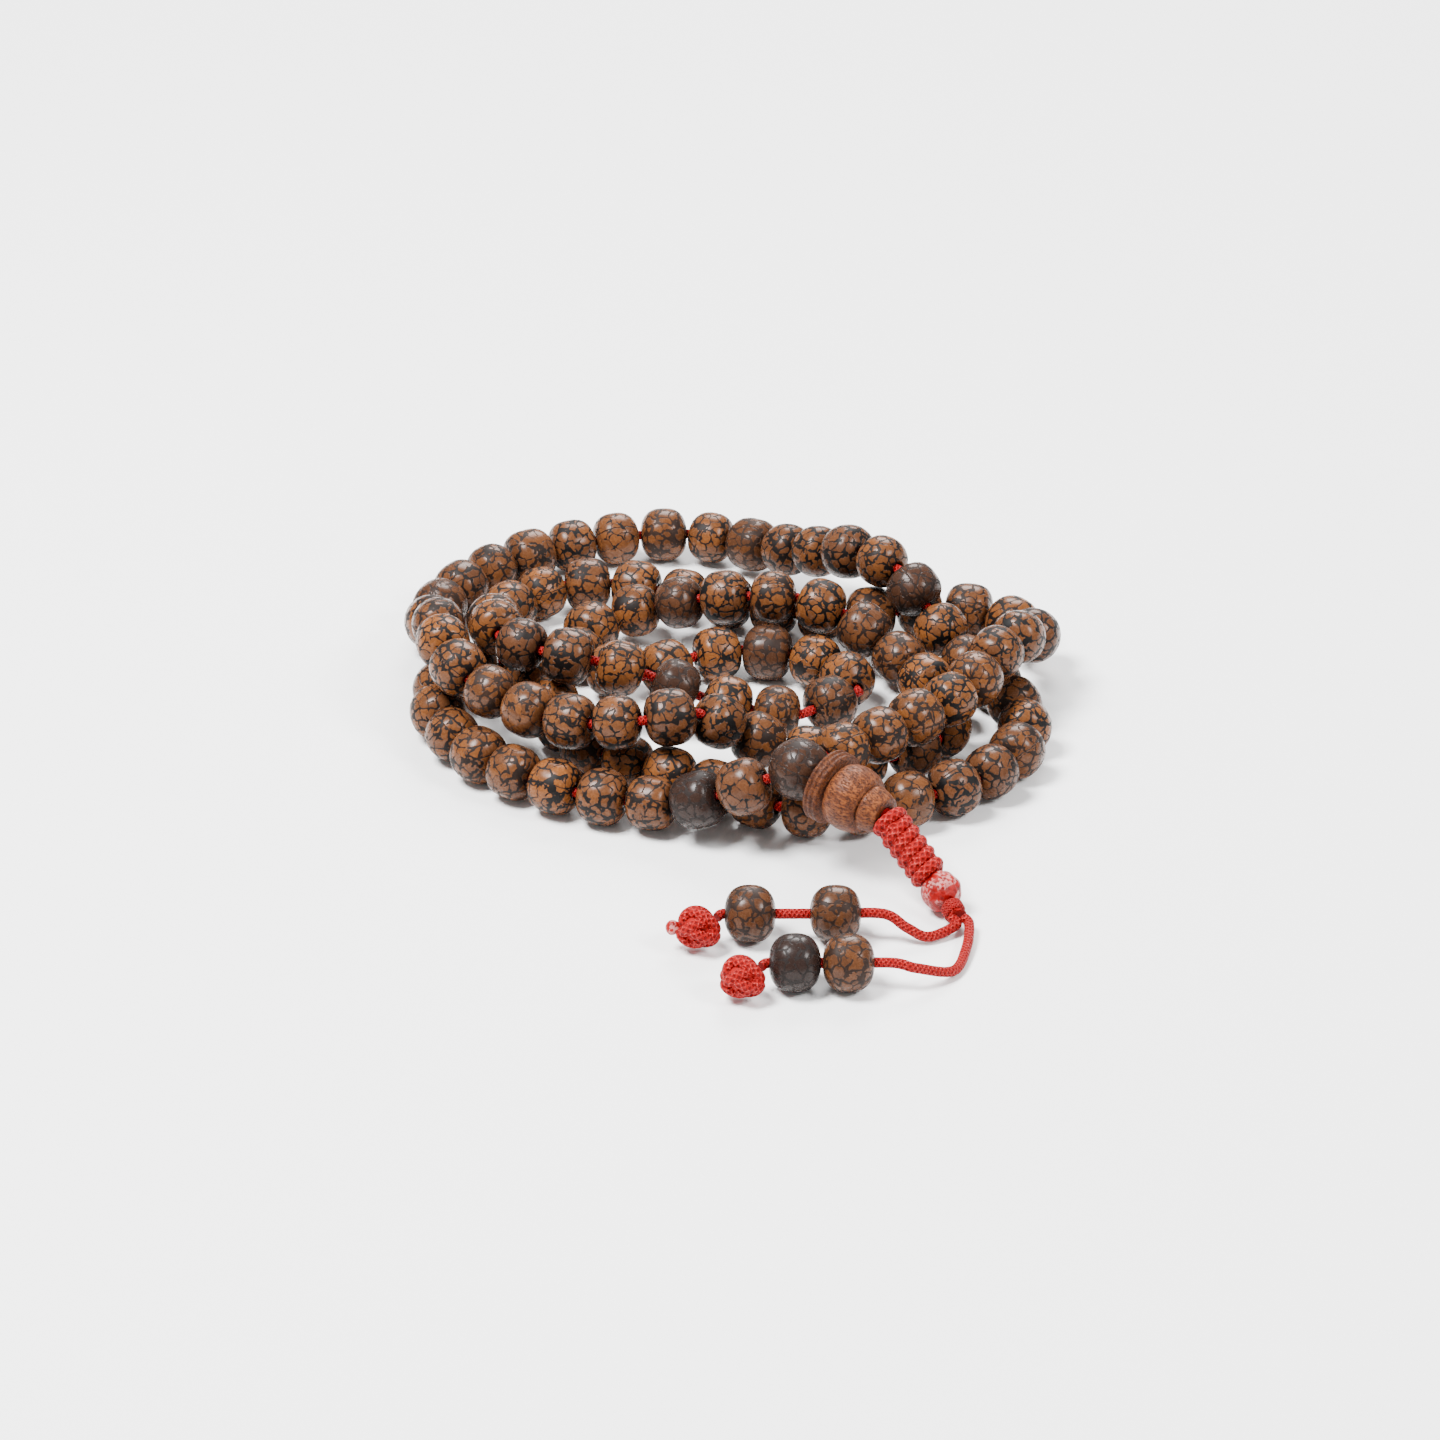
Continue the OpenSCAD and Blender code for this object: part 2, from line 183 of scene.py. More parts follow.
# The string's two ends start this far from the guru bead's middle
STRING_IN = 1.2 * MM
# A hair short of a ball, so that the barrel's outline still holds
GURU_L = GURU_D * 0.999
# Balls that stand for the tower where seeds fill out beside it, as shares of its length
TOWER_BALLS = (0.1, 0.5, 0.9)
# Grooves round the flange, as shares of its length
GROOVE_HEIGHTS = (0.33, 0.70)
SINNET_ROUNDS = 6
SINNET_INSET = 0.35 * MM
SINNET_LEAN = 0.6 * MM
SINNET_CORE_R = SINNET_D * 0.33
WRAP_R = 0.42 * MM
WRAP_TURNS = 3
WRAP_IN = 0.45 * MM
COLLAR_CORE_R = COLLAR_D * 0.36
KNOT_R = END_KNOT_D / 2
KNOT_ROPE_R = 0.8 * MM
TIP_R = 1.15 * MM

LENS_MM = 138.0
SENSOR_MM = 36.0
FLOOR_W = 6.0
WORLD_LIGHT = 0.5
# Soft lights: name, place, power in watts and width
LIGHTS = (
    ("key", (-0.35, -0.15, 0.75), 24.0, 0.30),
    ("fill", (0.60, -0.35, 0.65), 9.0, 0.26),
    ("rim", (0.10, 0.70, 0.60), 12.0, 0.45),
)


# ---------------------------------------------------------------- the strand's rule


def curve(points, t):
    """Catmull-Rom place on a list of points."""
    n = len(points) - 1
    c = min(max(t, 0), n - 0.000001)
    i = math.floor(c)
    f = c - i
    b, d = points[i], points[i + 1]
    a = points[i - 1] if i > 0 else 2 * b - d
    e = points[i + 2] if i + 2 <= n else 2 * d - b
    square = 2 * a - 5 * b + 4 * d - e
    cube = 3 * b - a - 3 * d + e
    return 0.5 * (2 * b + (d - a) * f + square * f * f + cube * f * f * f)


def strand(t):
    """Place on the strand's route, never below where a bead rests on the floor."""
    v = curve(STRAND_POINTS, t)
    v.z = max(v.z, FLOOR_Z)
    return v


def size_of(i):
    """How large bead i is beside the usual size."""
    return 1 + BEAD_VARY * math.sin(math.radians(i * VARY_TURN))


def free_space(i, p0, p1, p2):
    """Space between bead i, from p1 to p2, and the one before it, from p0 to p1."""
    c = (p2 - p0) / 2
    d = c.length
    k0, k1 = size_of(i - 1), size_of(i)
    s0 = (p1 - p0).cross(c).length / (p1 - p0).length / d
    s1 = (p2 - p1).cross(c).length / (p2 - p1).length / d
    return d - BEAD_L / 2 * (k0 + k1) - (BEAD_D - BEAD_L) / 2 * (k0 * s0 + k1 * s1) - BEAD_GAP


def reach(p, t, d):
    """First place along the route at least d away from p."""
    while t < LAST and (strand(t) - p).length < d:
        t += FINE
    return min(t, LAST)


def bead_mouths():
    """The points between beads, where one bore ends and the next begins."""
    start = reach(GURU_AT, 0, GURU_D / 2 + GURU_GAP)
    ts = [start, reach(strand(start), start, BEAD_L * size_of(0) + BEAD_GAP)]
    for i in range(1, BEAD_COUNT):
        p0, p1 = strand(ts[-2]), strand(ts[-1])
        t = reach(p1, ts[-1], BEAD_L * size_of(i) + BEAD_GAP)
        while t < LAST and free_space(i, p0, p1, strand(t)) < 0:
            t += FINE
        t = min(t, LAST)
        spare = SLACK if i in SLACK_BEADS else 0
        ts.append(reach(p1, t, (strand(t) - p1).length + spare))
    return [strand(t) for t in ts]


MOUTHS = bead_mouths()


# ---------------------------------------------------------------- shader maths


class Value:
    """A shader socket on which +, -, * and the rest add Math nodes."""

    def __init__(self, shader, socket):
        self.shader = shader
        self.socket = socket

    def math(self, operation, *others):
        node = self.shader.node("ShaderNodeMath", {"operation": operation}, [self, *others])
        return Value(self.shader, node.outputs[0])

    def __add__(self, other):
        return self.math("ADD", other)

    __radd__ = __add__

    def __mul__(self, other):
        return self.math("MULTIPLY", other)

    def __sub__(self, other):
        return self.math("SUBTRACT", other)

    def __rsub__(self, other):
        return (self * -1) + other

    def less(self, edge, soft):
        """1 well below edge, 0 well above it, over a soft band."""
        values = {"Value": self, "From Min": edge - soft, "From Max": edge + soft,
                  "To Min": 1.0, "To Max": 0.0}
        settings = {"interpolation_type": "SMOOTHSTEP", "clamp": True}
        node = self.shader.node("ShaderNodeMapRange", settings, values)
        return Value(self.shader, node.outputs[0])


class Shader:
    """A node material and the one method that adds its nodes."""

    def __init__(self, name):
        self.material = bpy.data.materials.new(name)
        self.material.use_nodes = True
        self.tree = self.material.node_tree
        self.surface = self.tree.nodes["Principled BSDF"]

    def plug(self, socket, value):
        if isinstance(value, Value):
            self.tree.links.new(value.socket, socket)
        else:
            socket.default_value = value

    def node(self, kind, settings=None, values=None):
        made = self.tree.nodes.new(kind)
        for key, value in (settings or {}).items():
            setattr(made, key, value)
        pairs = values.items() if isinstance(values, dict) else enumerate(values or [])
        for key, value in pairs:
            self.plug(made.inputs[key], value)
        return made

    def attribute(self, name, output="Fac"):
        made = self.node("ShaderNodeAttribute", {"attribute_name": name})
        return Value(self, made.outputs[output])

    def noise(self, place, scale, detail, output="Fac"):
        values = {"Vector": place, "Scale": scale, "Detail": detail}
        return Value(self, self.node("ShaderNodeTexNoise", {}, values).outputs[output])

    def voronoi(self, place, scale, feature, output):
        values = {"Vector": place, "Scale": scale}
        made = self.node("ShaderNodeTexVoronoi", {"feature": feature}, values)
        return Value(self, made.outputs[output])

    def vector(self, operation, a, b):
        made = self.node("ShaderNodeVectorMath", {"operation": operation}, [a, b])
        return Value(self, made.outputs[0])

    def scaled(self, place, factor):
        values = {"Vector": place, "Scale": factor}
        made = self.node("ShaderNodeVectorMath", {"operation": "SCALE"}, values)
        return Value(self, made.outputs[0])

    def mix(self, factor, a, b):
        made = self.node("ShaderNodeMix", {"data_type": "RGBA"}, {0: factor, 6: a, 7: b})
        return Value(self, made.outputs[2])

    def bump(self, height, distance, strength):
        values = {"Height": height, "Distance": distance, "Strength": strength}
        self.plug(self.surface.inputs["Normal"],
                  Value(self, self.node("ShaderNodeBump", {}, values).outputs[0]))

    def finish(self, **sockets):
        for name, value in sockets.items():
            self.plug(self.surface.inputs[name.replace("_", " ")], value)
        return self.material


def colour(rgb):
    """A colour that hides what is behind it."""
    return (*rgb, 1.0)


def seed_material(look):
    """Polished seed: tan to brown cells inside a broken net of near-black veins."""
    s = Shader("seed")
    place = s.attribute("seed_place", "Vector")
    dark = s.attribute("seed_dark")
    warm = s.attribute("seed_warm")
    plain = s.attribute("seed_plain")
    # Cells to a millimetre, and how far their edges wander
    cells, wander_by = 0.66, 1.3
    wander = s.noise(place, 0.7, 2.0, "Color")
    wander = s.scaled(s.vector("SUBTRACT", wander, (0.5, 0.5, 0.5)), wander_by)
    bent = s.vector("ADD", place, wander)
    edge = s.voronoi(bent, cells, "DISTANCE_TO_EDGE", "Distance")
    middle = s.voronoi(bent, cells, "F1", "Distance")
    cell = s.voronoi(bent, cells, "F1", "Color")
    thick = s.noise(place, 0.6, 2.0)
    # Lines are thin between cells, swell where they meet and break off in places
    width = (thick - 0.33 - plain * 0.16) * 0.34 + (middle - 0.42) * 0.16
    vein = (edge - width).less(0.012, 0.014)
    whole = s.noise(place, 0.9, 1.0).less(0.62, 0.03)
    vein = vein * whole
    seam_wander = s.noise(place, 1.4, 2.0) * 0.5 - 0.25
    seam = (s.attribute("seed_seam") + seam_wander).math("ABSOLUTE").less(0.075, 0.05)
    vein = vein.math("MAXIMUM", seam)
    mottled = s.noise(place, 2.2, 4.0)
    tone = s.mix(warm, colour(look.seed_brown), colour(look.seed_tan))
    split = s.node("ShaderNodeSeparateColor", {}, {"Color": cell})
    tone = s.mix(Value(s, split.outputs[0]) * 0.6, tone, colour(look.seed_deep))
    tone = s.mix(mottled.less(0.47, 0.2) * 0.35, tone, colour(look.seed_deep))
    tone = s.mix(dark, tone, colour(look.seed_purple))
    tone = s.mix(vein * (1 - dark * 0.45), tone, colour(look.vein))
    # The drilled ends are worn darker round the bore
    tone = s.mix(s.attribute("seed_end") * 0.8, tone, colour(look.vein))
    s.bump(vein * -1.0 + mottled * 0.12, 0.00010, 0.8)
    return s.finish(Base_Color=tone, Roughness=vein * 0.3 + mottled * 0.14 + 0.2,
                    Specular_IOR_Level=0.17)


def wood_material(look):
    """Turned wood: short mottled grain along the tower's axis, darker on the flange."""
    s = Shader("turned_wood")
    place = s.attribute("wood_place", "Vector")
    grain = s.noise(s.vector("MULTIPLY", place, (2.6, 2.6, 0.9)), 1.0, 5.0)
    fleck = s.noise(s.vector("MULTIPLY", place, (6.0, 6.0, 2.0)), 1.0, 3.0).less(0.45, 0.06)
    height = s.node("ShaderNodeSeparateXYZ", {}, {"Vector": place})
    flange = Value(s, height.outputs[2]).less(FLANGE_L / MM, 0.3)
    tone = s.mix(grain.less(0.5, 0.12), colour(look.wood_light), colour(look.wood_dark))
    tone = s.mix(fleck * 0.75, tone, colour(look.wood_pore))
    tone = s.mix(flange * 0.4, tone, colour(look.wood_pore))
    s.bump(grain - fleck * 0.8, 0.00012, 0.7)
    return s.finish(Base_Color=tone, Roughness=0.42 + fleck * 0.25, Specular_IOR_Level=0.15)


def braided(s, look, height, spot):
    """The colours of braided nylon on a height that tells its strands: painted shade between the strands
    and a painted highlight on their tops, in spots set by a noise.
    """
    # Painted shade: the red darkens where the height is low, between the strands
    tone = s.mix(height.less(0.05, 0.40), colour(look.cord_red), colour(look.cord_painted_shade))
    # Painted highlight: a pale red on the tops of the strands, where the height is high, in spots set by
    # a noise
    painted_highlight_mask = (1 - height.less(0.80, 0.10)) * spot.less(0.44, 0.03)
    tone = s.mix(painted_highlight_mask * 0.6, tone, colour(look.cord_painted_highlight))
    s.bump(height, 0.00012, 0.9)
    return s.finish(Base_Color=tone, Roughness=0.6, Specular_IOR_Level=0.12)


def cord_material(look):
    """Braided nylon whose small crossing strands follow the cord."""
    s = Shader("red_cord")
    place = s.attribute("UVMap", "Vector")
    split = s.node("ShaderNodeSeparateXYZ", {}, {"Vector": place})
    along, around = Value(s, split.outputs[0]), Value(s, split.outputs[1])
    # Strands to a diameter's length of cord, and round it
    along, around = along * (math.tau * 2.2), around * (math.tau * 5)
    one, two = (along + around).math("SINE"), (along - around).math("SINE")
    spot = s.noise(s.vector("MULTIPLY", place, (6, 22, 1)), 1.0, 2.0)
    return braided(s, look, one.math("MAXIMUM", two), spot)


def core_material(look):
    """The same nylon where the string's two ends lie pressed together in the tower."""
    s = Shader("core_cord")
    place = Value(s, s.node("ShaderNodeTexCoord").outputs["Object"])
    return braided(s, look, s.noise(place, 2600.0, 2.0) * 2 - 0.3, s.noise(place, 1900.0, 2.0))


def fused_material(look):
    """Nylon melted to a lump: red with painted shade in its hollows, and pale crusts where it was
    hottest, on top.
    """
    s = Shader("fused_cord")
    place = Value(s, s.node("ShaderNodeTexCoord").outputs["Object"])
    lump = s.noise(place, 1100.0, 4.0)
    crust = s.noise(place, 420.0, 2.0).less(0.44, 0.04) * s.noise(place, 2300.0, 2.0).less(0.50, 0.05)
    # Painted shade: the red darkens in the lump's hollows, where its bump is low
    tone = s.mix(lump.less(0.45, 0.12), colour(look.cord_red), colour(look.cord_painted_shade))
    tone = s.mix(crust * 0.8, tone, colour(look.fused_pink))
    s.bump(lump, 0.0005, 0.8)
    return s.finish(Base_Color=tone, Roughness=0.4, Specular_IOR_Level=0.2)


def floor_material(look):
    """Matt white table top."""
    s = Shader("floor")
    return s.finish(Base_Color=colour(look.floor), Roughness=0.7, Specular_IOR_Level=0.2)


FINISHES = {}


def shared(make, look):
    """A finish, made the first time that a piece asks for it."""
    if make not in FINISHES:
        FINISHES[make] = make(look)
    return FINISHES[make]


# ---------------------------------------------------------------- modelling helpers


def start():
    """Nothing selected, in object mode."""
    if bpy.context.object and bpy.context.object.mode != "OBJECT":
        bpy.ops.object.mode_set(mode="OBJECT")
    bpy.ops.object.select_all(action="DESELECT")


def turned(name, profile, segments):
    """A closed ring of rings: radius and height pairs drawn round +Z and joined end to end."""
    start()
    first_r, first_z = profile[0]
    bpy.ops.mesh.primitive_circle_add(vertices=segments, radius=first_r,
                                      location=(0, 0, first_z))
    obj = bpy.context.object
    obj.name = name
    bpy.ops.object.transform_apply(location=True, rotation=True, scale=True)
    bpy.ops.object.mode_set(mode="EDIT")
    bpy.ops.mesh.select_all(action="SELECT")
    r, z = first_r, first_z
    for next_r, next_z in profile[1:] + profile[:1]:
        bpy.ops.mesh.extrude_region_move(TRANSFORM_OT_translate={"value": (0, 0, next_z - z)})
        k = next_r / r
        bpy.ops.transform.resize(value=(k, k, 1), center_override=(0, 0, next_z))
        r, z = next_r, next_z
    bpy.ops.mesh.select_all(action="SELECT")
    bpy.ops.mesh.remove_doubles(threshold=MERGE)
    bpy.ops.mesh.normals_make_consistent(inside=False)
    bpy.ops.object.mode_set(mode="OBJECT")
    bpy.ops.object.shade_smooth()
    return obj


def barrel_profile(d, l, bore, steps=22):
    """Outline of a rounded barrel from one bore mouth to the other."""
    off, rho = (d - l) / 2, l / 2
    top = math.acos((bore / 2 - off) / rho)
    angles = [-top + 2 * top * k / steps for k in range(steps + 1)]
    return [(off + rho * math.cos(a), rho * math.sin(a)) for a in angles]


def aimed(at, direction):
    """Turns +Z to a direction and moves the origin to a place, with the pile's own shift."""
    return Matrix.Translation(at + PILE_AT) @ direction.to_track_quat("Z", "Y").to_matrix().to_4x4()


def give(obj, material):
    """One finish all over a piece."""
    obj.data.materials.clear()
    obj.data.materials.append(material)


def settle(obj, body, nodes=()):
    """Says which body a piece rides on and the solids that it stands for."""
    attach(obj, body)
    if nodes:
        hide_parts(*nodes)
    return obj


def chance(i, salt):
    """A fixed number from 0 to 1 for bead i."""
    return (math.sin(i * 12.9898 + salt * 78.233) * 43758.5453) % 1


def outside(p, centre, axis, off, rho):
    """How far a place is outside a barrel, which is all that lies within rho of a small disc."""
    v = p - centre
    h = v.dot(axis)
    across = math.sqrt(max(0.0, v.length_squared - h * h))
    return math.hypot(max(0.0, across - off), h) - rho


def neighbours(at, own):
    """The barrels near a bead: centre, axis, radius of the disc and distance from it."""
    found = []
    for j in range(BEAD_COUNT):
        centre = (MOUTHS[j] + MOUTHS[j + 1]) / 2
        if j != own and (centre - at).length < NEAR:
            axis = (MOUTHS[j + 1] - MOUTHS[j]).normalized()
            k = size_of(j)
            found.append((centre, axis, (BEAD_D - BEAD_L) / 2 * k, BEAD_L / 2 * k))
    found.append((GURU_AT, TOWER_DIR, 0.0, GURU_D / 2))
    for share in TOWER_BALLS:
        found.append((TOWER_AT + TOWER_DIR * TOWER_L * share, TOWER_DIR, 0.0, FLANGE_D / 2))
    return found


def fill_of(across, height, d, l, squareness):
    """How far a barrel grows outwards at one ring to become a squarer barrel of the same size."""
    off, rho = (d - l) / 2, l / 2
    out_r, out_z = (across - off) / rho, height / rho
    low, high = 0.0, MOST_FILL
    for _ in range(16):
        t = (low + high) / 2
        full = (abs(across + t * out_r) / (d / 2)) ** squareness \
            + (abs(height + t * out_z) / (l / 2)) ** squareness
        low, high = (t, high) if full < 1 else (low, t)
    return low, Vector((out_r, 0, out_z))


def room_to_fill(mesh, place, scale, near, d, l, squareness):
    """Each vertex's free move outwards, and each ring's way out with its least free move."""
    rings, moves = {}, []
    for v in mesh.vertices:
        across = math.hypot(v.co.x, v.co.y)
        key = round(v.co.z / RING_STEP)
        if key not in rings:
            rings[key] = [*fill_of(across, v.co.z, d, l, squareness), 1.0]
        world = place @ (v.co * scale) - PILE_AT
        free = min([outside(world, *barrel) / 2 for barrel in near] + [world.z])
        move = max(0.0, min(rings[key][0], free - SEED_GAP))
        rings[key][2] = min(rings[key][2], move)
        moves.append((move, key, across))
    return rings, moves


def seed_copy(model, name, at, direction, scale, mark, dark, warm, plain=0.0, near=(), turns=False,
              d=BEAD_D, l=BEAD_L, squareness=2.0):
    """One seed: its own mesh, uneven, filled out where there is room, with its own patch of veins."""
    mesh = model.data.copy()
    mesh.name = name
    obj = bpy.data.objects.new(name, mesh)
    bpy.context.scene.collection.objects.link(obj)
    shift = Vector((mark * 3.7, mark * 5.3, mark * 2.1))
    roll = Matrix.Rotation(chance(mark, 3) * math.tau, 3, "Z")
    no_seam = 9.0 if chance(mark, 4) > 0.55 else 0.0
    place = aimed(at, direction)
    count = len(mesh.vertices)
    rings, moves = room_to_fill(mesh, place, scale, near, d, l, squareness)
    places, ends, seams = [], [], []
    for v, (move, key, across) in zip(mesh.vertices, moves):
        p = v.co.copy()
        patch = roll @ p
        # A bead that turns on the cord is filled out evenly all round
        move = rings[key][2] if turns else move
        out = rings[key][1]
        if across > BORE_D * 0.62:
            p += Vector((p.x / across * out.x, p.y / across * out.x, out.z)) * move
            # Dents only go inwards
            dent = 0.03 * (1 + noise.noise(patch / (3.2 * MM) + shift)) / 2
            p.x *= 1 - dent
            p.y *= 1 - dent
        v.co = p * scale
        places.extend(patch / MM + shift)
        ends.append(min(1.0, max(0.0, 1 - (across - BORE_D / 2) / (0.4 * MM))))
        seams.append(patch.y / MM + no_seam)
    layer = mesh.attributes.new("seed_place", "FLOAT_VECTOR", "POINT")
    layer.data.foreach_set("vector", places)
    for key, values in (("seed_end", ends), ("seed_seam", seams), ("seed_dark", [dark] * count),
                        ("seed_warm", [warm] * count), ("seed_plain", [plain] * count)):
        mesh.attributes.new(key, "FLOAT", "POINT").data.foreach_set("value", values)
    mesh.transform(place)
    mesh.update()
    return obj


def remove(obj):
    """Takes away a model that only served for copies."""
    bpy.data.objects.remove(obj, do_unlink=True)


def rope(name, points, radius, sides, closed=False):
    """A round cord along points, with a UV that runs in diameters along it and once round it."""
    count = len(points)
    mesh = bpy.data.meshes.new(name)
    obj = bpy.data.objects.new(name, mesh)
    bpy.context.scene.collection.objects.link(obj)
    rings = []
    side = None
    run, runs = 0.0, []
    for i, p in enumerate(points):
        before = points[i - 1] if i > 0 or closed else p
        after = points[(i + 1) % count] if i + 1 < count or closed else p
        along = (after - before).normalized()
        if side is None:
            side = along.orthogonal().normalized()
        side = (side - along * side.dot(along)).normalized()
        over = along.cross(side)
        run += (p - points[i - 1]).length if i else 0.0
        runs.append(run / (2 * radius))
        rings.append([p + radius * (math.cos(a) * side + math.sin(a) * over)
                      for a in (math.tau * k / sides for k in range(sides))])
    shape = bmesh.new()
    grid = [[shape.verts.new(v + PILE_AT) for v in ring] for ring in rings]
    layer = shape.loops.layers.uv.new("UVMap")
    total = count if closed else count - 1
    for i in range(total):
        j = (i + 1) % count
        u0 = runs[i]
        u1 = runs[j] if j else runs[i] + (points[0] - points[-1]).length / (2 * radius)
        for k in range(sides):
            m = (k + 1) % sides
            face = shape.faces.new((grid[i][k], grid[i][m], grid[j][m], grid[j][k]))
            face.smooth = True
            marks = ((u0, k), (u0, k + 1), (u1, k + 1), (u1, k))
            for loop, (u, w) in zip(face.loops, marks):
                loop[layer].uv = (u, w / sides)
    if not closed:
        shape.faces.new(list(reversed(grid[0])))
        shape.faces.new(grid[-1])
    bmesh.ops.recalc_face_normals(shape, faces=shape.faces)
    shape.to_mesh(mesh)
    shape.free()
    return obj


def dense(points, step):
    """Points every step along a Catmull-Rom curve."""
    n = len(points) - 1
    spans = 40
    fine = [curve(points, k / spans) for k in range(n * spans + 1)]
    length = sum((b - a).length for a, b in zip(fine, fine[1:]))
    stride = max(1, round(len(fine) * step / length))
    kept = fine[:-1:stride]
    return kept + [fine[-1]], length


def knot_path(centre, axis, radius, wraps, lobes, count=420):
    """A closed path that weaves over a ball, crossing itself over and under."""
    turn = axis.to_track_quat("Z", "Y").to_matrix()
    path = []
    for k in range(count):
        t = math.tau * k / count
        lift = math.sin(lobes * t)
        lat = 1.12 * math.cos(lobes * t + 0.3)
        r = radius * (0.80 + 0.13 * math.sin(lobes * 2 * t * wraps / (wraps + 1) + lift))
        p = Vector((r * math.cos(lat) * math.cos(wraps * t),
                    r * math.cos(lat) * math.sin(wraps * t), r * math.sin(lat)))
        path.append(centre + turn @ p)
    return path


def joined(name, parts):
    """Several pieces made one mesh."""
    start()
    for part in parts:
        part.select_set(True)
    bpy.context.view_layer.objects.active = parts[0]
    if len(parts) > 1:
        bpy.ops.object.join()
    parts[0].name = name
    return parts[0]


def lump(name, centre, radius, rough, seed, detail=4):
    """A ball of fused nylon, dented by noise, inside its radius."""
    start()
    bpy.ops.mesh.primitive_ico_sphere_add(subdivisions=detail, radius=radius)
    obj = bpy.context.object
    obj.name = name
    mark = Vector((seed * 4.1, seed * 2.3, seed))
    for v in obj.data.vertices:
        d = noise.noise(v.co / (1.3 * MM) + mark) * 0.5 + 0.5
        v.co *= 1 - rough * d
        v.co += centre + PILE_AT
    bpy.ops.object.shade_smooth()
    return obj


# ---------------------------------------------------------------- properties


def tint(name, text, rgb):
    """A colour that a user can change."""
    return bpy.props.FloatVectorProperty(name=name, description=text, default=rgb, size=3,
                                         subtype="COLOR", min=0.0, max=1.0)


class MalaLook(bpy.types.PropertyGroup):
    """Colours of the mala's finishes and of the stage."""

    seed_tan: tint("Seed tan", "Lightest colour between the veins", (0.185, 0.060, 0.013))
    seed_brown: tint("Seed brown", "Usual colour between the veins", (0.098, 0.036, 0.014))
    seed_deep: tint("Seed deep", "Shaded patches between the veins", (0.045, 0.019, 0.010))
    seed_purple: tint("Dark seed", "Body of the dark seeds", (0.013, 0.008, 0.007))
    vein: tint("Vein", "The net of veins", (0.0008, 0.0004, 0.0004))
    wood_light: tint("Wood light", "Pale grain of the tower", (0.180, 0.052, 0.015))
    wood_dark: tint("Wood dark", "Dark grain of the tower", (0.070, 0.019, 0.007))
    wood_pore: tint("Wood pore", "Short pores in the grain", (0.014, 0.004, 0.002))
    cord_red: tint("Cord red", "Braided nylon", (0.26, 0.0, 0.0004))
    # Painted shade of the cord, between its strands and in the melted lump's hollows
    cord_painted_shade: tint("Cord painted shade", "Between the cord's strands", (0.13, 0.0, 0.0002))
    # Painted highlight put on the tops of the cord's strands
    cord_painted_highlight: tint("Cord painted highlight", "Bright threads in the cord", (0.55, 0.09, 0.08))
    fused_pink: tint("Fused pink", "Melted nylon", (0.50, 0.17, 0.16))
    floor: tint("Floor", "The table top", (0.95, 0.95, 0.95))


class MalaSize(bpy.types.PropertyGroup):
    """Sizes of the visible detail."""

    bead_segments: bpy.props.IntProperty(
        name="Bead segments", description="Facets round a bead", default=44, min=16, max=96)
    strand_width: bpy.props.FloatProperty(
        name="Braid strand", description="Thickness of one loop of the sinnet",
        default=1.8 * MM, unit="LENGTH")
    squareness: bpy.props.FloatProperty(
        name="Seed squareness", description="2 is a round seed, more is a squarer one",
        default=3.0, min=2.0, max=4.0)
    squareness_spread: bpy.props.FloatProperty(
        name="Squareness spread", description="How much rounder the roundest seeds are",
        default=0.55, min=0.0, max=1.0)
    eye_distance: bpy.props.FloatProperty(
        name="Camera distance", description="From the pile's middle to the camera",
        default=0.8, unit="LENGTH")
    eye_height: bpy.props.FloatProperty(
        name="Camera angle", description="Camera's angle above the table",
        default=math.radians(28), subtype="ANGLE")


# ---------------------------------------------------------------- operators


class MALA_OT_stage(bpy.types.Operator):
    """Make the camera, the floor and the soft lights"""

    bl_idname = "mala.stage"
    bl_label = "Stage"

    def execute(self, context):
        size, look = context.scene.mala_size, context.scene.mala_look
        angle = size.eye_height
        back = Vector((0, -math.cos(angle), math.sin(angle)))
        camera = bpy.data.cameras.new("camera")
        camera.lens = LENS_MM
        camera.sensor_width = SENSOR_MM
        camera.clip_start = 0.01
        eye = bpy.data.objects.new("camera", camera)
        eye.location = PILE_AT + back * size.eye_distance
        eye.rotation_euler = back.to_track_quat("Z", "Y").to_euler()
        context.scene.collection.objects.link(eye)
        context.scene.camera = eye
        start()
        bpy.ops.mesh.primitive_plane_add(size=FLOOR_W, location=(0, 0, 0))
        floor = context.object
        floor.name = "floor"
        give(floor, floor_material(look))
        world = bpy.data.worlds.new("studio")
        world.use_nodes = True
        world.node_tree.nodes["Background"].inputs[0].default_value = (1, 1, 1, 1)
        world.node_tree.nodes["Background"].inputs[1].default_value = WORLD_LIGHT
        context.scene.world = world
        for name, place, power, width in LIGHTS:
            light = bpy.data.lights.new(name, "AREA")
            light.energy = power
            light.size = width
            lamp = bpy.data.objects.new(name, light)
            lamp.location = place
            lamp.rotation_euler = Vector(place).to_track_quat("Z", "Y").to_euler()
            context.scene.collection.objects.link(lamp)
        return {"FINISHED"}


class MALA_OT_tails(bpy.types.Operator):
    """Make the two free tail cords"""

    bl_idname = "mala.tails"
    bl_label = "Tail cords"

    def execute(self, context):
        for letter, points in TAILS.items():
            path, _ = dense(points, TAIL_STEP)
            cord = rope("tail_" + letter, path, CORD_D / 2, 14)
            give(cord, shared(cord_material, context.scene.mala_look))
            settle(cord, "pile", ["tail_cord_" + letter])
        return {"FINISHED"}


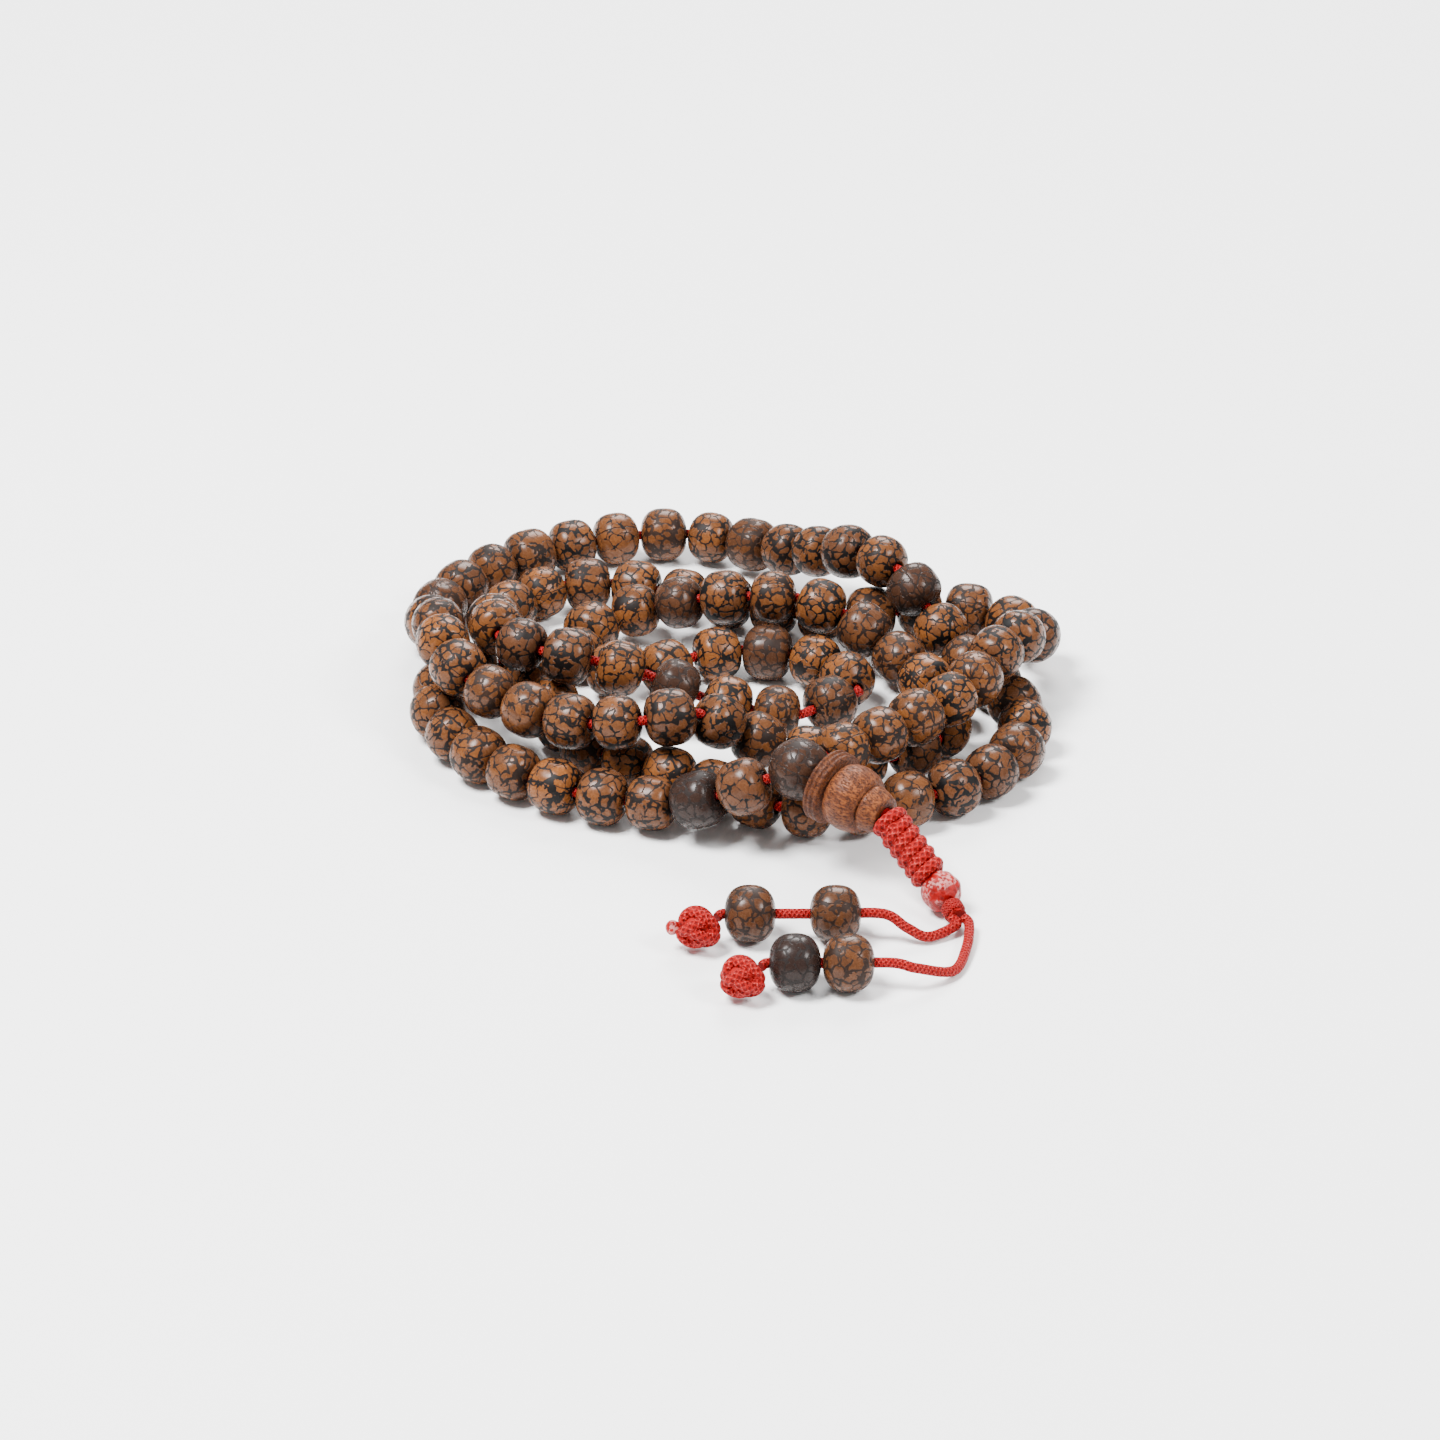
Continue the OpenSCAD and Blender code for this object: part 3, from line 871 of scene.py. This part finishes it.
class MALA_OT_strand(bpy.types.Operator):
    """Make the string and the 108 seed beads on it"""

    bl_idname = "mala.strand"
    bl_label = "Strand"

    def execute(self, context):
        look, size = context.scene.mala_look, context.scene.mala_size
        model = turned("bead_model", barrel_profile(BEAD_D, BEAD_L, BORE_D), size.bead_segments)
        for i in range(BEAD_COUNT):
            a, b = MOUTHS[i], MOUTHS[i + 1]
            at = (a + b) / 2
            dark = DARK_SEEDS.get(i, 0.25 * chance(i, 1) ** 2)
            bead = seed_copy(model, "seed_%03d" % i, at, b - a, size_of(i), i + 1, dark,
                             chance(i, 2), 1.0 if i in PLAIN_SEEDS else 0.0, neighbours(at, i),
                             i in SINGLE_BEADS,
                             squareness=size.squareness - size.squareness_spread * chance(i, 5))
            give(bead, shared(seed_material, look))
            if i in SINGLE_BEADS:
                settle(bead, "bead_%d_body" % i, ["bead_%d" % i])
            else:
                run = next(n for n, s in enumerate(STRETCHES) if s[0] <= i <= s[1])
                settle(bead, "pile", ["beads_run_%d" % (run + 1)])
        remove(model)
        first = GURU_AT + (MOUTHS[0] - GURU_AT).normalized() * STRING_IN
        last = GURU_AT + (MOUTHS[-1] - GURU_AT).normalized() * STRING_IN
        string = rope("strand_string", [first] + MOUTHS + [last], CORD_D / 2, 12)
        give(string, shared(cord_material, look))
        settle(string, "pile", ["string"])
        return {"FINISHED"}


class MALA_OT_counters(bpy.types.Operator):
    """Make the four counter beads on the tails"""

    bl_idname = "mala.counters"
    bl_label = "Counters"

    def execute(self, context):
        look, size = context.scene.mala_look, context.scene.mala_size
        model = turned("counter_model", barrel_profile(COUNTER_D, COUNTER_L, BORE_D),
                       size.bead_segments)
        for k, (node, place) in enumerate(COUNTERS.items()):
            dark, warm = COUNTER_LOOKS[k]
            bead = seed_copy(model, "seed_" + node, place, Vector((1, 0, 0)), 1.0, 140 + k * 3,
                             dark, warm, turns=True, d=COUNTER_D, l=COUNTER_L,
                             squareness=size.squareness - size.squareness_spread)
            give(bead, shared(seed_material, look))
            settle(bead, node + "_body", [node])
        remove(model)
        return {"FINISHED"}


class MALA_OT_guru(bpy.types.Operator):
    """Make the dark guru bead and its turned wooden tower"""

    bl_idname = "mala.guru"
    bl_label = "Guru"

    def execute(self, context):
        look = context.scene.mala_look
        model = turned("guru_model", barrel_profile(GURU_D, GURU_L, CORE_BORE_D), 56)
        guru = seed_copy(model, "guru_seed", GURU_AT, TOWER_DIR, 1.0, 211, 0.8, 0.5, turns=True,
                         d=GURU_D, l=GURU_L)
        remove(model)
        give(guru, shared(seed_material, look))
        settle(guru, "pile", ["guru_bead"])
        tower = turned("guru_turning", self.tower_profile(), 72)
        spots = []
        for v in tower.data.vertices:
            spots.extend(v.co / MM)
        layer = tower.data.attributes.new("wood_place", "FLOAT_VECTOR", "POINT")
        layer.data.foreach_set("vector", spots)
        tower.data.transform(aimed(TOWER_AT, TOWER_DIR))
        give(tower, shared(wood_material, look))
        settle(tower, "tower", ["guru_tower"])
        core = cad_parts["tower_core"]
        give(core, shared(core_material, look))
        return {"FINISHED"}

    def tower_profile(self):
        """Flange with two grooves, a full bulb and a coved neck, with eased edges."""
        bore, rim = CORE_BORE_D / 2, FLANGE_D / 2
        mid = FLANGE_L + BULB_L / 2
        out = [(bore, 0.0), (rim - 0.35 * MM, 0.0), (rim - 0.08 * MM, 0.10 * MM),
               (rim, 0.3 * MM)]
        for share in GROOVE_HEIGHTS:
            z = share * FLANGE_L
            out += [(rim, z - 0.25 * MM), (rim - 0.22 * MM, z - 0.10 * MM),
                    (rim - 0.24 * MM, z + 0.10 * MM), (rim, z + 0.25 * MM)]
        out += [(rim - 0.1 * MM, FLANGE_L - 0.1 * MM), (rim - 0.4 * MM, FLANGE_L)]
        for k in range(17):
            z = FLANGE_L + 0.02 * MM + (BULB_L - 0.02 * MM) * k / 16
            r = math.sqrt((BULB_D / 2) ** 2 - (z - mid) ** 2)
            groove = 0.45 * MM * math.exp(-(((z - FLANGE_L) / (0.3 * MM)) ** 2))
            out.append((r - groove, z))
        # The neck is a smaller dome behind a sharp groove
        foot = FLANGE_L + BULB_L
        for k in range(13):
            f = k / 12
            groove = 0.5 * MM * math.exp(-((f / 0.09) ** 2))
            dome = 0.14 * MM * math.sin(math.pi * f)
            out.append((NECK_R + (NECK_END_R - NECK_R) * f + dome - groove, foot + (TOWER_L - foot) * f))
        out.append((bore, TOWER_L))
        return out


class MALA_OT_braid(bpy.types.Operator):
    """Make the braided sinnet, the fused knot and the wrapped collar"""

    bl_idname = "mala.braid"
    bl_label = "Braid"

    def execute(self, context):
        look, size = context.scene.mala_look, context.scene.mala_size
        material = shared(cord_material, look)
        braid = joined("sinnet_braid", self.sinnet_parts(size.strand_width / 2))
        give(braid, material)
        settle(braid, "pile", ["sinnet"])
        knot = lump("melted_knot", FUSED_AT, FUSED_D / 2 * 1.04, 0.13, 3, 5)
        give(knot, shared(fused_material, look))
        settle(knot, "pile", ["fused_knot"])
        collar = joined("wrapped_collar", self.collar_parts())
        give(collar, material)
        settle(collar, "pile", ["collar"])
        return {"FINISHED"}

    def sinnet_parts(self, half):
        """The sinnet's loops, of thickness twice half, and the core that they go round."""
        axis = FUSED_AT - SINNET_AT
        length = axis.length - FUSED_D / 2 + KNOT_IN
        turn = axis.to_track_quat("Z", "Y").to_matrix()
        radius = SINNET_D / 2 - half
        pitch = (length - 2 * half) / (SINNET_ROUNDS - 1)
        loops = []
        for k in range(SINNET_ROUNDS):
            # Each round is a loop leaning one way over another, set in, that leans the other way
            middle = half + 0.05 * MM + k * pitch
            lean = max(0.0, min(SINNET_LEAN, middle - half, length - half - middle + 0.3 * MM))
            for way, inset in ((-1, 0.0), (1, SINNET_INSET)):
                path = []
                for j in range(40):
                    angle = math.tau * j / 40
                    path.append(SINNET_AT + turn @ Vector((
                        (radius - inset) * math.cos(angle), (radius - inset) * math.sin(angle),
                        middle + way * lean * math.cos(angle))))
                loops.append(rope("loop", path, half, 12, closed=True))
        line = [SINNET_AT + axis.normalized() * (0.1 * MM + (length - 0.2 * MM) * j / 8)
                for j in range(9)]
        return loops + [rope("core", line, SINNET_CORE_R, 16)]

    def collar_parts(self):
        """The collar's wrapped turns and the middle that they lie on."""
        turn = COLLAR_DIR.to_track_quat("Z", "Y").to_matrix()
        r = COLLAR_D / 2 - WRAP_R
        wrap = []
        for j in range(121):
            angle = math.tau * WRAP_TURNS * j / 120
            z = WRAP_IN + (COLLAR_L - 2 * WRAP_IN) * j / 120
            wrap.append(COLLAR_AT + turn @ Vector((r * math.cos(angle), r * math.sin(angle), z)))
        line = [COLLAR_AT + COLLAR_DIR * (COLLAR_L * j / 6) for j in range(7)]
        return [rope("wrap", wrap, WRAP_R, 10), rope("middle", line, COLLAR_CORE_R, 14)]


class MALA_OT_knots(bpy.types.Operator):
    """Make the knot that ends each tail"""

    bl_idname = "mala.knots"
    bl_label = "End knots"

    def execute(self, context):
        material = shared(cord_material, context.scene.mala_look)
        side = Vector((-1, 0, 0))
        for letter, centre in (("a", KNOT_A), ("b", KNOT_B)):
            path = knot_path(centre, side, KNOT_R * 0.84, 3, 5)
            parts = [rope("weave", path, KNOT_ROPE_R, 12, closed=True)]
            heart = lump("heart", centre, KNOT_R * 0.76, 0.08, 5)
            # The join keeps one map when both have the same name
            heart.data.uv_layers.active.name = "UVMap"
            parts.append(heart)
            if letter == "a":
                tip = lump("melted_tip", centre + side * KNOT_R * 1.06, TIP_R, 0.25, 7)
                give(tip, shared(fused_material, context.scene.mala_look))
                settle(tip, "pile", ["end_knot_a"])
            knot = joined("knot_" + letter, parts)
            give(knot, material)
            settle(knot, "pile", ["end_knot_" + letter])
            path, length = dense(TAILS[letter], TAIL_STEP)
            pieces = ["knot_" + letter, "seed_counter_%s1" % letter, "seed_counter_%s2" % letter]
            pieces += ["wrapped_collar", "melted_tip"] if letter == "a" else []
            tuple(path[0] + PILE_AT)
            [tuple(p + PILE_AT) for p in path]
        return {"FINISHED"}


class MALA_PT_panel(bpy.types.Panel):
    """Lists the mala's pieces, sizes and colours"""

    bl_label = "Seed Bead Mala"
    bl_idname = "MALA_PT_panel"
    bl_space_type = "VIEW_3D"
    bl_region_type = "UI"
    bl_category = "Mala"

    def draw(self, context):
        for step in STEPS:
            self.layout.operator(step.bl_idname)
        for group in (context.scene.mala_size, context.scene.mala_look):
            for key in group.__annotations__:
                self.layout.prop(group, key)


STEPS = (MALA_OT_stage, MALA_OT_tails, MALA_OT_strand, MALA_OT_counters, MALA_OT_guru,
         MALA_OT_braid, MALA_OT_knots)
CLASSES = (MalaLook, MalaSize) + STEPS + (MALA_PT_panel,)


def register():
    for cls in CLASSES:
        bpy.utils.register_class(cls)
    bpy.types.Scene.mala_look = bpy.props.PointerProperty(type=MalaLook)
    bpy.types.Scene.mala_size = bpy.props.PointerProperty(type=MalaSize)


def unregister():
    del bpy.types.Scene.mala_size
    del bpy.types.Scene.mala_look
    for cls in reversed(CLASSES):
        bpy.utils.unregister_class(cls)


def main():
    register()
    bpy.ops.mala.stage()
    bpy.ops.mala.tails()
    bpy.ops.mala.strand()
    bpy.ops.mala.counters()
    bpy.ops.mala.guru()
    bpy.ops.mala.braid()
    bpy.ops.mala.knots()


if __name__ == "__main__":
    main()
